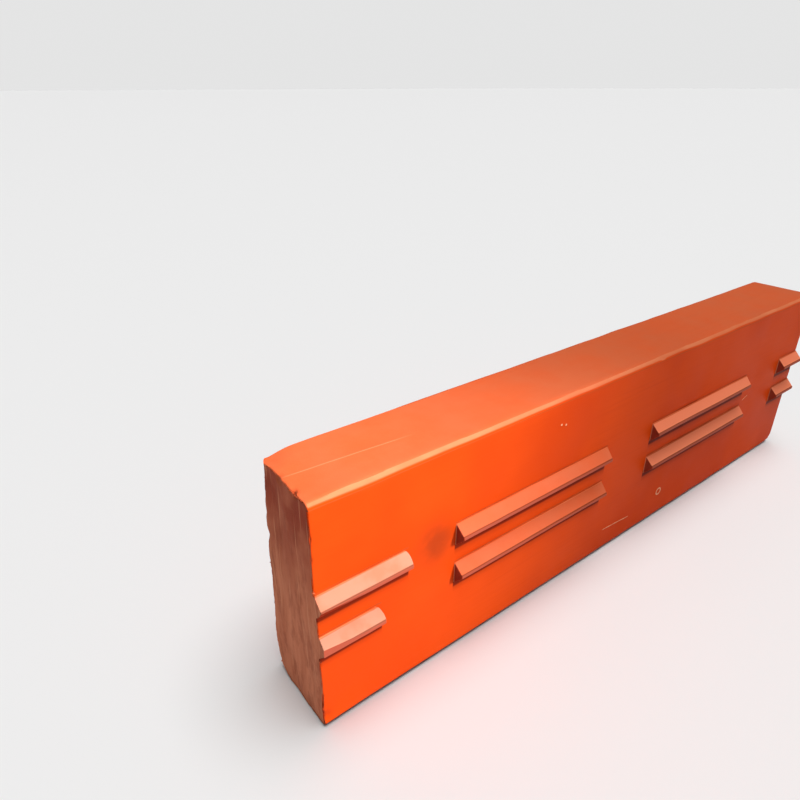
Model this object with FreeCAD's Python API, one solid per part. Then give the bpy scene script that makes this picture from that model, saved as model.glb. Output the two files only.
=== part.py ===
"""Blow bar of an impact crusher: one steel casting, laid on its long edge.

The bar is a plain slab. Its front face carries two rows of low ribs, which lock it into the
rotor's seat. Each row is broken into short and long lengths, so that the seat's own lugs can
pass between them. The rows lie evenly about mid-height, because a worn bar is turned over.

Frame: the origin is the middle of the slab's lower face. +X runs along the length, +Y goes into
the plain back, and +Z is up. Left is -X, as seen from the ribbed side. Lengths are millimetres.
"""
import FreeCAD
import Part

import math
import os

# Slab
LENGTH = 1300.0
THICKNESS = 138.0
HEIGHT = 380.0
LONG_EDGE_RADIUS = 10.0
END_EDGE_RADIUS = 3.0
FOOT_CORNER_RADIUS = 38.0
REAR_CORNER_RADIUS = 20.0
SOFT_CORNER_HEAD_RADIUS = 30.0
SOFT_CORNER_FOOT_RADIUS = 6.0

# Rib rows and their lengths
ROW_PITCH = 71.0
CENTRE_GAP = 134.0
LONG_RIB = 350.0
SHORT_RIB = 85.0
UPPER_LEFT_RIB = 147.0
LOWER_LEFT_RIB = 101.0

# Rib section: a blunt ridge between two sloping flanks
RIB_REACH = 16.0
RIB_NOSE = 5.0
RIB_FLANK_RUN = 17.0
RIB_ROOT_RADIUS = 3.0
RIB_EDGE_RADIUS = 2.0

# Rib ends: how much a free end leans back over the rib's reach, and its corners seen from the front
RIB_END_LEAN = 2.0
RIB_CORNER_RADIUS = 4.0
UPPER_LEFT_CORNER_RADIUS = 14.0
LOWER_LEFT_CORNER_RADIUS = 18.0

# The two ribs at the left end are ground back there: how far the cut runs, and the reach it leaves
GROUND_LENGTH = 75.0
UPPER_GROUND_REACH = 13.0
LOWER_GROUND_REACH = 12.0

# A rib is made with a skirt under it, which is sunk into the slab and lies flush with its face
SKIRT_DEPTH = 6.0
SKIRT_RIM = 2.0

# How far a cutter stands clear of the bar
CLEAR = 20.0

# A cut corner's round is set this far out, so that it runs out onto each face at a slight angle
CORNER_RUN_OUT = 0.5

FRONT = -THICKNESS / 2
BACK = THICKNESS / 2
LEFT = -LENGTH / 2
RIGHT = LENGTH / 2
UPPER_ROW = HEIGHT / 2 + ROW_PITCH / 2
LOWER_ROW = HEIGHT / 2 - ROW_PITCH / 2
RIB_HALF = RIB_NOSE / 2 + RIB_FLANK_RUN
SKIRT_HALF = RIB_HALF + SKIRT_RIM

ALONG_X = FreeCAD.Vector(1, 0, 0)
ALONG_Y = FreeCAD.Vector(0, 1, 0)
ALONG_Z = FreeCAD.Vector(0, 0, 1)


def near(value, target):
    """Whether two lengths are the same."""
    return abs(value - target) < 0.01


def at_bar_end(point):
    """Whether a point lies in the plane of either end face."""
    return near(abs(point.x), RIGHT)


def middle_of(edge):
    return edge.valueAt((edge.FirstParameter + edge.LastParameter) / 2)


def is_sharp(shape, edge):
    """Whether the two faces beside an edge meet at a corner there, and don't run smoothly on."""
    point = middle_of(edge)
    faces = shape.ancestorsOfType(edge, Part.Face)
    if len(faces) != 2:
        return False
    normals = [face.normalAt(*face.Surface.parameter(point)) for face in faces]
    return math.degrees(normals[0].getAngle(normals[1])) > 15


def sharp_edges(shape, test):
    """The sharp edges whose middle passes a test."""
    return [edge for edge in shape.Edges if test(middle_of(edge)) and is_sharp(shape, edge)]


def corner_waste(sharp_corner, inward_a, inward_b, radius):
    """The outline of what a rounded corner loses. The two directions run from it along its faces."""
    corner = sharp_corner - (inward_a + inward_b) * CORNER_RUN_OUT
    start = corner + inward_a * radius
    end = corner + inward_b * radius
    centre = start + inward_b * radius
    middle = centre - (inward_a + inward_b) * (radius / math.sqrt(2))
    outside = [
        end,
        end - inward_a * CLEAR,
        corner - (inward_a + inward_b) * CLEAR,
        start - inward_b * CLEAR,
        start,
    ]
    sides = [Part.makeLine(a, b) for a, b in zip(outside, outside[1:])]
    return Part.Wire([Part.Arc(start, middle, end).toShape()] + sides)


def make_slab():
    """The slab, with the rounded edges and corners that the mould gave it."""
    slab = Part.makeBox(LENGTH, THICKNESS, HEIGHT, FreeCAD.Vector(LEFT, FRONT, 0))
    long_edges = [edge for edge in slab.Edges if near(edge.BoundBox.XLength, LENGTH)]
    slab = slab.makeFillet(LONG_EDGE_RADIUS, long_edges)
    slab = slab.makeFillet(END_EDGE_RADIUS, sharp_edges(slab, at_bar_end))

    foot_corner = FreeCAD.Vector(RIGHT, FRONT - CLEAR, 0)
    foot_waste = corner_waste(foot_corner, -ALONG_X, ALONG_Z, FOOT_CORNER_RADIUS)
    slab = slab.cut(Part.Face(foot_waste).extrude(ALONG_Y * (THICKNESS + 2 * CLEAR)))

    rear_corner = FreeCAD.Vector(RIGHT, BACK, -CLEAR)
    rear_waste = corner_waste(rear_corner, -ALONG_X, -ALONG_Y, REAR_CORNER_RADIUS)
    slab = slab.cut(Part.Face(rear_waste).extrude(ALONG_Z * (HEIGHT + 2 * CLEAR)))

    # The rear corner at the left end is softer at its head than at its foot
    soft_foot = FreeCAD.Vector(LEFT, BACK, 0)
    soft_head = FreeCAD.Vector(LEFT, BACK, HEIGHT)
    foot_outline = corner_waste(soft_foot, ALONG_X, -ALONG_Y, SOFT_CORNER_FOOT_RADIUS)
    head_outline = corner_waste(soft_head, ALONG_X, -ALONG_Y, SOFT_CORNER_HEAD_RADIUS)
    return slab.cut(Part.makeLoft([foot_outline, head_outline], True, True)).Solids[0]


def make_ridge(x_start, x_end, z_mid):
    """The rib before its ends are shaped: one section all along, with its skirt."""
    deep = FRONT + SKIRT_DEPTH
    tip = FRONT - RIB_REACH
    corners = [
        FreeCAD.Vector(x_start, deep, z_mid - SKIRT_HALF),
        FreeCAD.Vector(x_start, FRONT, z_mid - SKIRT_HALF),
        FreeCAD.Vector(x_start, FRONT, z_mid - RIB_HALF),
        FreeCAD.Vector(x_start, tip, z_mid - RIB_NOSE / 2),
        FreeCAD.Vector(x_start, tip, z_mid + RIB_NOSE / 2),
        FreeCAD.Vector(x_start, FRONT, z_mid + RIB_HALF),
        FreeCAD.Vector(x_start, FRONT, z_mid + SKIRT_HALF),
        FreeCAD.Vector(x_start, deep, z_mid + SKIRT_HALF),
    ]
    section = Part.Face(Part.makePolygon(corners + corners[:1]))
    ridge = section.extrude(ALONG_X * (x_end - x_start))
    roots = [
        edge
        for edge in ridge.Edges
        if all(near(v.Point.y, FRONT) and near(abs(v.Point.z - z_mid), RIB_HALF) for v in edge.Vertexes)
    ]
    return ridge.makeFillet(RIB_ROOT_RADIUS, roots)


def make_end_plate(x_start, x_end, z_mid, corner_radius, free_start, free_end):
    """A block as long as the rib. It leans back at a free end, where its corners are rounded."""
    lean_per_mm = RIB_END_LEAN / RIB_REACH
    over_nose = lean_per_mm * (RIB_REACH + CLEAR)
    over_skirt = lean_per_mm * SKIRT_DEPTH
    low = z_mid - SKIRT_HALF
    high = z_mid + SKIRT_HALF
    plate = Part.makeWedge(
        x_start + over_nose * free_start,
        FRONT - RIB_REACH - CLEAR,
        low,
        low,
        x_start - over_skirt * free_start,
        x_end - over_nose * free_end,
        FRONT + SKIRT_DEPTH,
        high,
        high,
        x_end + over_skirt * free_end,
    )
    corners = [
        edge
        for edge in plate.Edges
        if edge.BoundBox.YLength > CLEAR
        and (free_start if middle_of(edge).x < (x_start + x_end) / 2 else free_end)
    ]
    return plate.makeFillet(corner_radius, corners)


def make_rib(x_start, x_end, z_mid, corner_radius=RIB_CORNER_RADIUS):
    """One length of rib with its skirt. An end that lies at the bar's own end is flush with it."""
    free_start = not near(x_start, LEFT)
    free_end = not near(x_end, RIGHT)
    ridge = make_ridge(x_start - CLEAR * free_start, x_end + CLEAR * free_end, z_mid)
    plate = make_end_plate(x_start, x_end, z_mid, corner_radius, free_start, free_end)
    rib = ridge.common(plate).Solids[0]
    proud = sharp_edges(rib, lambda point: point.y < FRONT - RIB_EDGE_RADIUS and not at_bar_end(point))
    rib = rib.makeFillet(RIB_EDGE_RADIUS, proud)
    flush = sharp_edges(rib, lambda point: point.y < FRONT and at_bar_end(point))
    return rib.makeFillet(RIB_EDGE_RADIUS, flush) if flush else rib


def ground_back(rib, z_mid, upper_reach, lower_reach):
    """A left-end rib with its nose ground off, down to the two reaches at the bar's end."""
    lower_edge = FreeCAD.Vector(LEFT, FRONT - lower_reach, z_mid - RIB_NOSE / 2)
    along = FreeCAD.Vector(GROUND_LENGTH, lower_reach - RIB_REACH, 0)
    across = FreeCAD.Vector(0, lower_reach - upper_reach, RIB_NOSE)
    past_root = across * (SKIRT_HALF / RIB_NOSE + 1)
    corners = [
        lower_edge - along - past_root,
        lower_edge + along * 2 - past_root,
        lower_edge + along * 2 + past_root,
        lower_edge - along + past_root,
    ]
    waste = Part.Face(Part.makePolygon(corners + corners[:1])).extrude(-ALONG_Y * CLEAR)
    return rib.cut(waste).Solids[0]


def make_ribs():
    """Both rows: a long length each side of the middle, and a short one at each end of the bar."""
    long_start = CENTRE_GAP / 2
    long_end = long_start + LONG_RIB
    ribs = []
    for row in (UPPER_ROW, LOWER_ROW):
        ribs.append(make_rib(-long_end, -long_start, row))
        ribs.append(make_rib(long_start, long_end, row))
        ribs.append(make_rib(RIGHT - SHORT_RIB, RIGHT, row))
    upper_left = make_rib(LEFT, LEFT + UPPER_LEFT_RIB, UPPER_ROW, UPPER_LEFT_CORNER_RADIUS)
    lower_left = make_rib(LEFT, LEFT + LOWER_LEFT_RIB, LOWER_ROW, LOWER_LEFT_CORNER_RADIUS)
    ribs.append(ground_back(upper_left, UPPER_ROW, RIB_REACH, UPPER_GROUND_REACH))
    ribs.append(ground_back(lower_left, LOWER_ROW, LOWER_GROUND_REACH, LOWER_GROUND_REACH))
    return ribs


def make_blow_bar():
    """The slab and its ribs as the one solid that was cast."""
    return make_slab().multiFuse(make_ribs()).removeSplitter().Solids[0]


os.makedirs("parts", exist_ok=True)
blow_bar = make_blow_bar()
blow_bar.exportStep("parts/blow_bar.step")
print("blow_bar", "valid" if blow_bar.isValid() else "not valid", round(blow_bar.Volume / 1e9, 5), "m3")
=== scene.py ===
import math

import bpy
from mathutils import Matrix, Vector, noise


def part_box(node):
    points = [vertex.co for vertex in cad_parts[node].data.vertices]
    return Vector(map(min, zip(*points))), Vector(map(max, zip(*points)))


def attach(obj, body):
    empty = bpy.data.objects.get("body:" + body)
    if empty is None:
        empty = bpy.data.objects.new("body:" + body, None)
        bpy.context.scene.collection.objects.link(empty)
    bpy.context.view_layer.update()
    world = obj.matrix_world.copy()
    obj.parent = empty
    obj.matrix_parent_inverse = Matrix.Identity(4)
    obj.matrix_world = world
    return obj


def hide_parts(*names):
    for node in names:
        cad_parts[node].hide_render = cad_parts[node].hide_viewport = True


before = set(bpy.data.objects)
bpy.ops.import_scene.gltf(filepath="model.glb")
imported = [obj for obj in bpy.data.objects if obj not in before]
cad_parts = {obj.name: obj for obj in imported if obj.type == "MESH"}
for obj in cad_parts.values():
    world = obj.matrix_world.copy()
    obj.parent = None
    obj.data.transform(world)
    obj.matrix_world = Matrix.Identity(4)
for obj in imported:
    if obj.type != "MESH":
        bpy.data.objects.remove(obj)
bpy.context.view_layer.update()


# The casting
# One block of wear-resistant steel, slab and ribs together, poured in a sand mould. Here it is cut
# into small cells, finer at the left end and round the small marks, so it can be worked.

bar_low, bar_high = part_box("blow_bar")
slab_front = -0.069
left_end = bar_low.x
end_work = 0.03
cell = 0.011
merge_distance = 1e-6
flat_angle = 0.002

bpy.ops.object.select_all(action="DESELECT")
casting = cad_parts["blow_bar"].copy()
casting.data = casting.data.copy()
casting.name = "bar_casting"
casting.data.name = "bar_casting"
bpy.context.scene.collection.objects.link(casting)
bpy.context.view_layer.objects.active = casting
casting.select_set(True)

bpy.ops.object.mode_set(mode="EDIT")
bpy.ops.mesh.select_all(action="SELECT")
bpy.ops.mesh.remove_doubles(threshold=merge_distance)
bpy.ops.mesh.customdata_custom_splitnormals_clear()
bpy.ops.mesh.dissolve_limited(angle_limit=flat_angle)
for axis in range(3):
    normal = Vector((0, 0, 0))
    normal[axis] = 1
    steps = round((bar_high[axis] - bar_low[axis]) / cell)
    for step in range(1, steps):
        cut = bar_low.lerp(bar_high, step / steps)
        bpy.ops.mesh.select_all(action="SELECT")
        bpy.ops.mesh.bisect(plane_co=cut, plane_no=normal, threshold=merge_distance)
bpy.ops.object.mode_set(mode="OBJECT")


def finer(low, high, cuts):
    """Divides the cells whose middle lies in a box."""
    bpy.ops.object.mode_set(mode="EDIT")
    bpy.ops.mesh.select_mode(type="FACE")
    bpy.ops.mesh.select_all(action="DESELECT")
    bpy.ops.object.mode_set(mode="OBJECT")
    for face in casting.data.polygons:
        face.select = all(a <= b <= c for a, b, c in zip(low, face.center, high))
    bpy.ops.object.mode_set(mode="EDIT")
    bpy.ops.mesh.subdivide(number_cuts=cuts)
    bpy.ops.object.mode_set(mode="OBJECT")


ring = Vector((0.142, slab_front, 0.063))
pimple = Vector((-0.2035, slab_front, 0.333))
small_pimple = Vector((-0.1925, slab_front, 0.3295))
pip = Vector((0.576, slab_front, 0.145))
long_fin = Vector((-0.039, slab_front, 0.0525)), Vector((0.043, slab_front, 0.046))
short_fin = Vector((0.4256, slab_front, 0.183)), Vector((0.4447, slab_front, 0.1895))
edge_nick = Vector((0.062, slab_front, bar_high.z))

around = Vector((0.015, 0.002, 0.015))
edge_cuts, dot_cuts, line_cuts = 2, 4, 5
finer(bar_low, (left_end + end_work, bar_high.y, bar_high.z), edge_cuts)
finer(ring - around, ring + around, line_cuts)
finer(pimple - around, pimple + around, dot_cuts)
finer(pip - around, pip + around, dot_cuts)
finer(edge_nick - 2 * around, edge_nick + 2 * around, edge_cuts)
for start, end in (long_fin, short_fin):
    low = [min(a, b) - c for a, b, c in zip(start, end, around)]
    high = [max(a, b) + c for a, b, c in zip(start, end, around)]
    finer(low, high, line_cuts)


# The cast surface
# Steel keeps the sand mould's slight swells and hollows, and its long edges wander by a millimetre
# or so. All of it is worked into the steel, so the bar's own sizes stay.

swell_pitch, swell_depth = 0.16, 0.0007
dimple_pitch, dimple_depth = 0.035, 0.0003
wander_pitch, wander_depth = 0.075, 0.0016
unevenness = 0.8
rib_clearance = 0.0005


def swell(spot, pitch):
    """A smooth random height from 0 to 1, the same at the same spot every time."""
    return min(max(0.5 + unevenness * noise.noise(Vector(spot) / pitch), 0), 1)


def eased(value, low, high):
    """Runs smoothly from 0 at low to 1 at high."""
    part = min(max((value - low) / (high - low), 0), 1)
    return part * part * (3 - 2 * part)


def is_slab(spot):
    """Whether a spot lies on the slab, and not on a rib."""
    return spot.y > slab_front - rib_clearance


def work(move):
    """Moves each point by what move gives for its place and its outward direction.

    No point leaves the casting's own box.
    """
    casting.data.update()
    moves = [move(point.co, point.normal) for point in casting.data.vertices]
    for point, shift in zip(casting.data.vertices, moves):
        if shift is not None:
            limits = zip(point.co + shift, bar_low, bar_high)
            point.co = [min(max(a, low), high) for a, low, high in limits]
    casting.data.update()


def cast_skin(spot, outward):
    depth = swell_depth * swell(spot, swell_pitch) + dimple_depth * swell(spot, dimple_pitch)
    if is_slab(spot):
        edge = abs(2 * outward.y * outward.z)
        depth += wander_depth * edge * swell((spot.x, spot.y, 0), wander_pitch)
    return -depth * outward


work(cast_skin)


# The left end
# Here the casting was cut from its feeder and ground by hand. Its face is hollow and grooved up and
# down, its upper edge is scooped out between the corners, and all its edges are chipped.

scoop_depth, scoop_middle, scoop_width = 0.0045, 0.026, 0.026
scoop_foot, scoop_head = 0.20, 0.38
hollow_pitch, hollow_depth = 0.045, 0.0022
groove_pitch, groove_depth = 0.0065, 0.0007
chip_pitch, chip_depth = 0.017, 0.0016

# Hollows and grooves run on upward, so they change more slowly that way, by these factors
hollow_change, groove_change = 0.7, 0.09


def end_grinding(spot, outward):
    nearness = 1 - eased(spot.x, left_end, left_end + end_work)
    if nearness == 0:
        return None
    scoop = math.exp(-((spot.y - scoop_middle) / scoop_width) ** 2)
    scoop *= eased(spot.z, scoop_foot, scoop_head)
    hollow = swell((0, spot.y, spot.z * hollow_change), hollow_pitch)
    groove = swell((0, spot.y, spot.z * groove_change), groove_pitch)
    groove *= eased(-outward.x, 0.5, 0.9)
    depth = nearness * (scoop_depth * scoop + hollow_depth * hollow + groove_depth * groove)
    edge = max(abs(2 * outward.x * outward.y), abs(2 * outward.x * outward.z))
    chip = edge * eased(swell(spot, chip_pitch), 0.55, 0.9) * is_slab(spot)
    return Vector((depth, 0, 0)) - chip_depth * chip * outward


def dent(middle, reach, shift):
    """Pushes the points near a place, most at its middle."""
    middle, shift = Vector(middle), Vector(shift)

    def push(spot, outward):
        distance = (spot - middle).length
        return shift * (1 - eased(distance, 0, reach)) if distance < reach else None

    work(push)


work(end_grinding)
dent((-0.648, -0.034, 0.379), reach=0.009, shift=(0.003, 0, -0.004))
dent((-0.648, 0.006, 0.378), reach=0.012, shift=(0.002, 0, -0.002))
dent((-0.648, 0.060, 0.198), reach=0.010, shift=(0.003, -0.0035, 0))
dent((-0.648, 0.055, 0.262), reach=0.014, shift=(0.002, -0.0025, 0))
dent((-0.648, -0.068, 0.022), reach=0.016, shift=(0.002, 0.0025, 0))
dent((-0.650, 0.069, 0.000), reach=0.045, shift=(0, -0.007, 0.009))
dent((-0.650, 0.069, 0.380), reach=0.055, shift=(0.001, -0.002, -0.006))
dent((-0.562, -0.074, 0.170), reach=0.008, shift=(0, 0.0012, -0.0012))
dent(edge_nick, reach=0.010, shift=(0, 0.002, -0.002))


# The small marks on the ribbed face
# Sand that broke away in the mould left a ring, a few pips and two thin fins of steel on the face.

bead_height, bead_width = 0.0012, 0.0018
ring_radius = 0.0072
fin_thinness = 1.5
face_depth = 0.003
least_height = 1e-6


def off_line(start, end, spot):
    """How far a spot is from a line between two places."""
    part = min(max((spot - start).dot(end - start) / (end - start).length_squared, 0), 1)
    return (spot - start.lerp(end, part)).length


def small_marks(spot, outward):
    if abs(spot.y - slab_front) > face_depth or outward.y > -0.9:
        return None
    ways = [abs((spot - ring).length - ring_radius)]
    ways += [(spot - dot).length for dot in (pimple, small_pimple, pip)]
    ways += [off_line(start, end, spot) * fin_thinness for start, end in (long_fin, short_fin)]
    bead = bead_height * math.exp(-(min(ways) / bead_width) ** 2)
    return Vector((0, -bead, 0)) if bead > least_height else None


work(small_marks)
shading_angle = math.radians(32)
bpy.ops.object.shade_smooth_by_angle(angle=shading_angle)


# The paint
# Satin orange-red enamel over the whole casting, full on the long faces and thin on the rough ends.
# It is dusty with a painted sheen where it faces up, with painted shade under the ribs and painted
# highlights along the edges and on the rib tops.

def new_material(name):
    material = bpy.data.materials.new(name)
    material.use_nodes = True
    return material, material.node_tree.nodes, material.node_tree.links


paint, nodes, links = new_material("orange_paint")
shader = nodes["Principled BSDF"]
place = nodes.new("ShaderNodeTexCoord").outputs["Object"]


def mottle(scale, detail=2.0, roughness=0.5, vector=place):
    node = nodes.new("ShaderNodeTexNoise")
    node.inputs["Scale"].default_value = scale
    node.inputs["Detail"].default_value = detail
    node.inputs["Roughness"].default_value = roughness
    links.new(vector, node.inputs["Vector"])
    return node.outputs["Fac"]


def stretched(scale, turn=(0, 0, 0)):
    node = nodes.new("ShaderNodeMapping")
    node.inputs["Scale"].default_value = scale
    node.inputs["Rotation"].default_value = turn
    links.new(place, node.inputs["Vector"])
    return node.outputs["Vector"]


def ranged(value, low, high, at_low=0.0, at_high=1.0):
    """Runs smoothly from one strength at low to the other at high."""
    node = nodes.new("ShaderNodeMapRange")
    node.interpolation_type = "SMOOTHSTEP"
    node.inputs["From Min"].default_value = low
    node.inputs["From Max"].default_value = high
    node.inputs["To Min"].default_value = at_low
    node.inputs["To Max"].default_value = at_high
    links.new(value, node.inputs["Value"])
    return node.outputs["Result"]


def fading(value, low, high, most=1.0):
    return ranged(value, low, high, most, 0.0)


def patches(scale, detail, least, most, low=0.3, high=0.6, roughness=0.5):
    """Soft blotches, whose strength runs from least to most."""
    return ranged(mottle(scale, detail, roughness), low, high, least, most)


def combined(kind, first, second=0.0):
    node = nodes.new("ShaderNodeMath")
    node.operation = kind
    for value, socket in ((first, node.inputs[0]), (second, node.inputs[1])):
        if isinstance(value, float):
            socket.default_value = value
        else:
            links.new(value, socket)
    return node.outputs["Value"]


def both(first, second):
    return combined("MULTIPLY", first, second)


def either(first, second):
    return combined("MAXIMUM", first, second)


def total(first, second):
    return combined("ADD", first, second)


def less(first, second):
    return combined("SUBTRACT", first, second)


def band(value, middle, half, soft):
    """1 within half of the middle, and 0 further off."""
    return fading(combined("ABSOLUTE", less(value, middle)), half, half + soft)


def mixed(factor, first, second):
    node = nodes.new("ShaderNodeMix")
    node.data_type = "RGBA"
    links.new(factor, node.inputs["Factor"])
    for value, socket in ((first, node.inputs["A"]), (second, node.inputs["B"])):
        if isinstance(value, tuple):
            socket.default_value = (*value, 1)
        else:
            links.new(value, socket)
    return node.outputs["Result"]


def split(vector):
    node = nodes.new("ShaderNodeSeparateXYZ")
    links.new(vector, node.inputs["Vector"])
    return node.outputs["X"], node.outputs["Y"], node.outputs["Z"]


along, across, height = split(place)
facing_right, facing_back, facing_up = split(nodes.new("ShaderNodeNewGeometry").outputs["Normal"])
facing_end = ranged(combined("ABSOLUTE", facing_right), 0.6, 0.8)
on_front = fading(facing_back, -0.9, -0.7)
on_ribs = fading(across, slab_front - 0.0015, slab_front - 0.0008)
on_slab = ranged(across, slab_front - 0.0008, slab_front - 0.0002)

# The full coat of the long faces, with its brush strokes
fresh, deep = (0.68, 0.064, 0.004), (0.60, 0.050, 0.003)
strokes = mottle(1.0, 4.0, vector=stretched((5, 60, 200)))
coat = mixed(ranged(mottle(4.5, 3.0), 0.35, 0.65), fresh, deep)
coat = mixed(ranged(strokes, 0.45, 0.8, 0.0, 0.45), coat, deep)

# The thin coat of the ends, scratched by the grinding wheel, with painted shade darkening it
# towards the head
end_pale, end_brown, end_shade_colour = (0.64, 0.225, 0.120), (0.50, 0.150, 0.076), (0.32, 0.058, 0.030)
end_streak, end_scratch = (0.26, 0.055, 0.028), (0.62, 0.24, 0.13)
wheel_lean = 0.4
grooves = ranged(mottle(1.0, 4.0, 0.55, stretched((1, 60, 8))), 0.25, 0.75)
# Painted shade: the upper part of each end is darkened, where less light comes up from the floor
head_painted_shade = both(ranged(height, 0.18, 0.36), patches(22, 2.0, least=0.6, most=1.0))
streaks = fading(mottle(1.0, 4.0, 0.65, stretched((1, 60, 22))), 0.32, 0.56, 0.45)
scratches = mottle(1.0, 2.0, vector=stretched((1, 240, 10), turn=(wheel_lean, 0, 0)))
end_coat = mixed(grooves, end_pale, end_brown)
end_coat = mixed(head_painted_shade, end_coat, end_shade_colour)
end_coat = mixed(streaks, end_coat, end_streak)
end_coat = mixed(ranged(scratches, 0.60, 0.70, 0.0, 0.7), end_coat, end_scratch)
colour = mixed(facing_end, coat, end_coat)

# Dust from above with a painted sheen where the paint faces up, and painted shade on the ribs'
# undersides and left ends
dust_and_sheen_pale, underside_painted_shade = (0.56, 0.155, 0.066), (0.20, 0.010, 0.003)
# Partly dust and partly a painted sheen: what faces up is paler, as light from above would make it
dust_and_sheen_patches = patches(9, 4.0, least=0.42, most=0.62, high=0.7, roughness=0.6)
dust_and_sheen = both(ranged(facing_up, 0.3, 0.8), dust_and_sheen_patches)
# Painted shade: the ribs' undersides and their left ends are darkened as if out of the light
under = fading(facing_up, -0.5, -0.15, 0.8)
rib_end = both(on_ribs, fading(facing_right, -0.7, -0.4, 0.85))
rib_end = both(rib_end, ranged(along, left_end + 0.005, left_end + 0.010))
colour = mixed(dust_and_sheen, colour, dust_and_sheen_pale)
colour = mixed(either(under, rib_end), colour, underside_painted_shade)

# The ribs' tops, with a painted highlight of glare to the left, and painted light from above making
# them brighter to the right
glare_pale, sky_lit_pale = (0.46, 0.215, 0.140), (0.90, 0.250, 0.125)
rib_tops = both(on_ribs, ranged(facing_up, 0.2, 0.5))
glare_tops = both(rib_tops, ranged(along, -0.50, -0.40, 1.0, 0.12))
sky_lit_tops = both(rib_tops, ranged(along, -0.10, 0.08, 0.0, 0.85))
# Painted highlights: glare on the left ribs' tops, light from above on the right ones
colour = mixed(both(glare_tops, patches(35, 3.0, least=0.55, most=0.85)), colour, glare_pale)
colour = mixed(sky_lit_tops, colour, sky_lit_pale)

# The ribs' noses, with a dark line along the upper edge of each
upper_row, lower_row = 0.2255, 0.1545
rib_tip = -0.085
crease_rise, crease_half, crease_soft = 0.0031, 0.0006, 0.0005
crease_brown, nose_brown = (0.16, 0.03, 0.012), (0.32, 0.085, 0.055)
for row in (upper_row, lower_row):
    crease = fading(across, rib_tip + 0.0025, rib_tip + 0.0035, 0.8)
    crease = both(crease, band(height, row + crease_rise, crease_half, crease_soft))
    colour = mixed(crease, colour, crease_brown)
nose = fading(across, rib_tip + 0.006, rib_tip + 0.007, 0.75)
nose = both(nose, fading(facing_back, -0.97, -0.86))
colour = mixed(nose, colour, nose_brown)

# Painted shadow, dark and thin, under each rib, and a painted shade line along its upper root.
# A foot and a head here are how far below the row a shade starts and is full.
rib_painted_shadow, root_painted_shade = (0.09, 0.006, 0.002), (0.30, 0.065, 0.020)
shade_foot, shade_head = 0.040, 0.0235
core_foot, core_head = 0.029, 0.0245
nose_foot, nose_head = 0.012, 0.010
root_rise, root_half, root_soft = 0.0207, 0.0007, 0.0010
rib_inset, rib_soft = 0.001, 0.003
ribs = [(upper_row, -0.65, -0.503), (lower_row, -0.65, -0.549)]
for row in (upper_row, lower_row):
    ribs += [(row, -0.417, -0.067), (row, 0.067, 0.417), (row, 0.565, 0.65)]
for row, start, end in ribs:
    beside = band(along, (start + end) / 2, (end - start) / 2 - rib_inset, rib_soft)
    beneath = ranged(height, row - shade_foot, row - shade_head, 0.0, 0.9)
    beneath = both(beneath, fading(height, row - nose_foot, row - nose_head))
    beneath = both(beneath, beside)
    beneath = both(beneath, ranged(height, row - core_foot, row - core_head, 0.35, 1.0))
    beneath = both(beneath, fading(facing_back, -0.85, -0.6))
    colour = mixed(beneath, colour, rib_painted_shadow)
    # Painted shade in the concave root above each rib
    above = both(both(band(height, row + root_rise, root_half, root_soft), beside), 0.5)
    above = both(above, fading(facing_back, -0.6, -0.4))
    colour = mixed(above, colour, root_painted_shade)

# A painted highlight along the rounded long edge, and a painted shade line where it meets the
# ribbed face
edge_painted_highlight, edge_painted_shade = (0.72, 0.225, 0.100), (0.36, 0.080, 0.022)
edge_highlight = both(fading(both(facing_back, facing_up), -0.49, -0.40), on_slab)
edge_shade_line = both(both(band(facing_up, 0.14, 0.05, 0.07), ranged(height, 0.36, 0.365)), on_slab)
colour = mixed(both(edge_highlight, patches(12, 3.0, least=0.45, most=0.7, low=0.35)), colour, edge_painted_highlight)
colour = mixed(both(edge_shade_line, 0.45), colour, edge_painted_shade)


def distance_from(x, z):
    """How far off a place on the ribbed face is, over the face."""
    squares = [combined("POWER", less(way, start), 2.0) for way, start in ((along, x), (height, z))]
    return combined("SQRT", total(*squares))


# The small marks, pale where the steel shows, with a painted glint on the raised beads
bare_and_glint = (0.80, 0.48, 0.28)
ring_width, dot_size, fin_width, mark_soft = 0.0010, 0.0014, 0.0005, 0.0008
marks = band(distance_from(ring.x, ring.z), ring_radius, ring_width, mark_soft)
for dot in (pimple, small_pimple, pip):
    marks = either(marks, band(distance_from(dot.x, dot.z), 0.0, dot_size, mark_soft))
for start, end in (long_fin, short_fin):
    slope = (end.z - start.z) / (end.x - start.x)
    fin_height = total(both(along, slope), start.z - slope * start.x)
    fin = band(less(height, fin_height), 0.0, fin_width, fin_width)
    fin_length = band(along, (start.x + end.x) / 2, (end.x - start.x) / 2 - 0.002, 0.004)
    marks = either(marks, both(fin, fin_length))
colour = mixed(both(both(marks, on_front), 0.8), colour, bare_and_glint)

# A brown smudge on the ribbed face, and a dark line of painted shade in the chip at the left end's
# front lower corner
smudge_brown, chip_painted_shade = (0.33, 0.036, 0.006), (0.04, 0.009, 0.005)
smudge = fading(distance_from(-0.455, 0.228), 0.008, 0.05)
smudge = both(smudge, patches(28, 3.0, least=0.35, most=0.8))
chip_shade = both(fading(along, -0.6478, -0.6466, 0.85), fading(height, 0.046, 0.058))
chip_shade = both(chip_shade, fading(across, -0.0668, -0.0655))
chip_shade = both(chip_shade, patches(70, 3.0, least=0.0, most=1.0, high=0.5))
colour = mixed(both(smudge, on_front), colour, smudge_brown)
colour = mixed(chip_shade, colour, chip_painted_shade)

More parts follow.
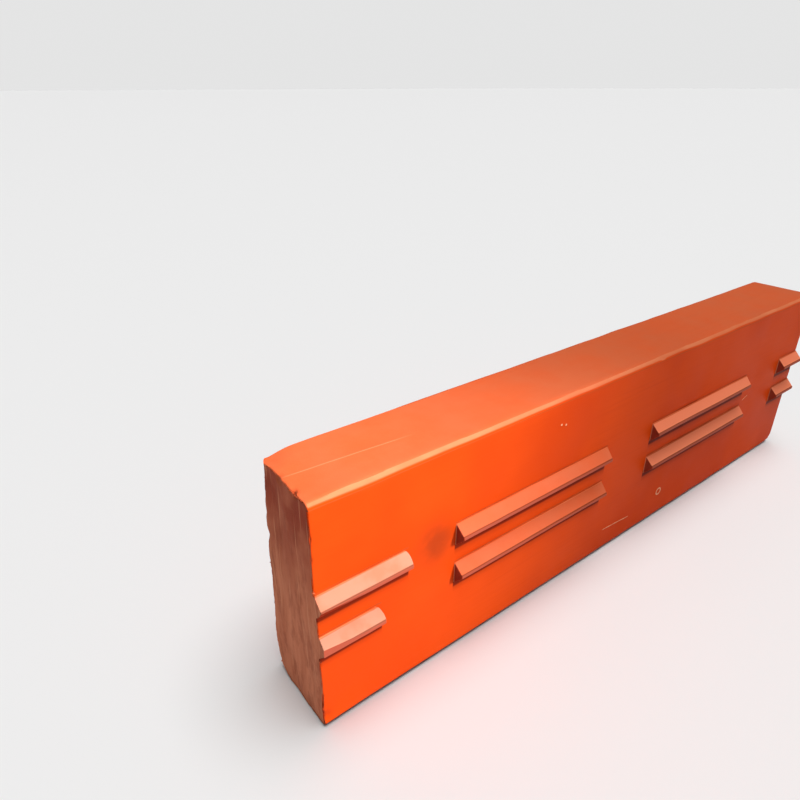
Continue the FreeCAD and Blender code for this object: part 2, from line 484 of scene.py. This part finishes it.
# Darker along the foot, and a pale seam on the top that runs slightly askew
foot_dark, seam_pale = (0.17, 0.035, 0.010), (0.78, 0.33, 0.16)
foot = both(fading(height, 0.002, 0.009, 0.75), patches(60, 3.0, least=0.4, most=1.0))
seam = band(total(across, total(both(along, 0.069), 0.0457)), 0.0, 0.0004, 0.0012)
seam = both(both(seam, band(along, -0.555, 0.06, 0.05)), ranged(facing_up, 0.9, 0.95))
colour = mixed(foot, colour, foot_dark)
colour = mixed(both(seam, 0.3), colour, seam_pale)
links.new(colour, shader.inputs["Base Color"])

sheen = patches(7, 4.0, least=0.40, most=0.54, high=0.7)
roughness = total(sheen, both(either(facing_end, dust_and_sheen), 0.3))
links.new(roughness, shader.inputs["Roughness"])
shader.inputs["Specular IOR Level"].default_value = 0.03

grain_depth, stroke_depth, end_depth = 0.0004, 0.0005, 0.0022
relief = total(both(mottle(420, 2.0), grain_depth), both(strokes, stroke_depth))
relief = total(relief, both(both(mottle(130, 4.0, 0.65), facing_end), end_depth))
bump = nodes.new("ShaderNodeBump")
bump.inputs["Strength"].default_value = 0.35
bump.inputs["Distance"].default_value = 1.0
links.new(relief, bump.inputs["Height"])
links.new(bump.outputs["Normal"], shader.inputs["Normal"])

casting.data.materials.clear()
casting.data.materials.append(paint)
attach(casting, "root")
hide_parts("blow_bar")


# The studio
# A plain pale floor, one soft lamp high at the front right, which is aimed just past the bar's left
# end, so that its light falls off to the right, and a wide soft one above.

floor_size = 400.0
bpy.ops.mesh.primitive_plane_add(size=floor_size, location=(0, 0, bar_low.z))
floor = bpy.context.object
floor.name = "floor"
floor_paint, nodes, links = new_material("floor_paint")
nodes["Principled BSDF"].inputs["Base Color"].default_value = (0.86, 0.86, 0.86, 1)
nodes["Principled BSDF"].inputs["Roughness"].default_value = 0.9
floor.data.materials.append(floor_paint)

# The air is bright low down and above, and dim between. The camera sees a plain backdrop.
floor_glow, shade_glow, overhead_glow = 0.78, 0.08, 0.35


def grey(glow):
    return glow, glow, glow, 1


world = bpy.data.worlds.new("studio_air")
world.use_nodes = True
nodes, links = world.node_tree.nodes, world.node_tree.links
upward = nodes.new("ShaderNodeSeparateXYZ")
links.new(nodes.new("ShaderNodeTexCoord").outputs["Generated"], upward.inputs["Vector"])
ramp = nodes.new("ShaderNodeValToRGB")
ramp.color_ramp.interpolation = "EASE"
ramp.color_ramp.elements[0].position = 0.10
ramp.color_ramp.elements[0].color = grey(floor_glow)
ramp.color_ramp.elements[1].position = 0.22
ramp.color_ramp.elements[1].color = grey(shade_glow)
for level, glow in ((0.55, shade_glow), (0.85, overhead_glow)):
    ramp.color_ramp.elements.new(level).color = grey(glow)
links.new(upward.outputs["Z"], ramp.inputs["Fac"])
backdrop = nodes.new("ShaderNodeMix")
backdrop.data_type = "RGBA"
backdrop.inputs["B"].default_value = grey(floor_glow)
links.new(nodes.new("ShaderNodeLightPath").outputs["Is Camera Ray"], backdrop.inputs["Factor"])
links.new(ramp.outputs["Color"], backdrop.inputs["A"])
links.new(backdrop.outputs["Result"], nodes["Background"].inputs["Color"])
nodes["Background"].inputs["Strength"].default_value = 1.0
bpy.context.scene.world = world
bpy.context.scene.view_settings.view_transform = "Standard"


def add_light(name, kind, aim, direction, distance):
    light = bpy.data.lights.new(name, kind)
    lamp = bpy.data.objects.new(name, light)
    away = Vector(direction).normalized()
    lamp.location = Vector(aim) + away * distance
    lamp.rotation_euler = away.to_track_quat("Z", "Y").to_euler()
    bpy.context.scene.collection.objects.link(lamp)
    return lamp


key = add_light("key_light", "SPOT", (-0.78, -0.06, 0.22), (0.50, -0.62, 0.60), distance=4.0)
key.data.energy = 1150
key.data.spot_size = math.radians(17)
key.data.spot_blend = 0.6
key.data.shadow_soft_size = 0.25

key_lit = bpy.data.collections.new("key_lit")
key_lit.objects.link(casting)
key.light_linking.receiver_collection = key_lit

overhead = add_light("overhead_light", "SUN", (0, 0, 0), (0.1, -0.12, 1.0), distance=3.0)
overhead.data.angle = math.radians(40)
overhead.data.energy = 2.4


# The camera
# It stands off the bar's left end, a little over twice the bar's height, and looks down along it.

camera = bpy.data.cameras.new("camera")
camera.sensor_width = 36.0
camera.lens = 28.07
viewer = bpy.data.objects.new("camera", camera)
viewer.location = (-0.9105, -0.5863, 0.7992)
viewer.rotation_euler = (math.radians(63.29), math.radians(0.11), math.radians(-37.34))
bpy.context.scene.collection.objects.link(viewer)
bpy.context.scene.camera = viewer
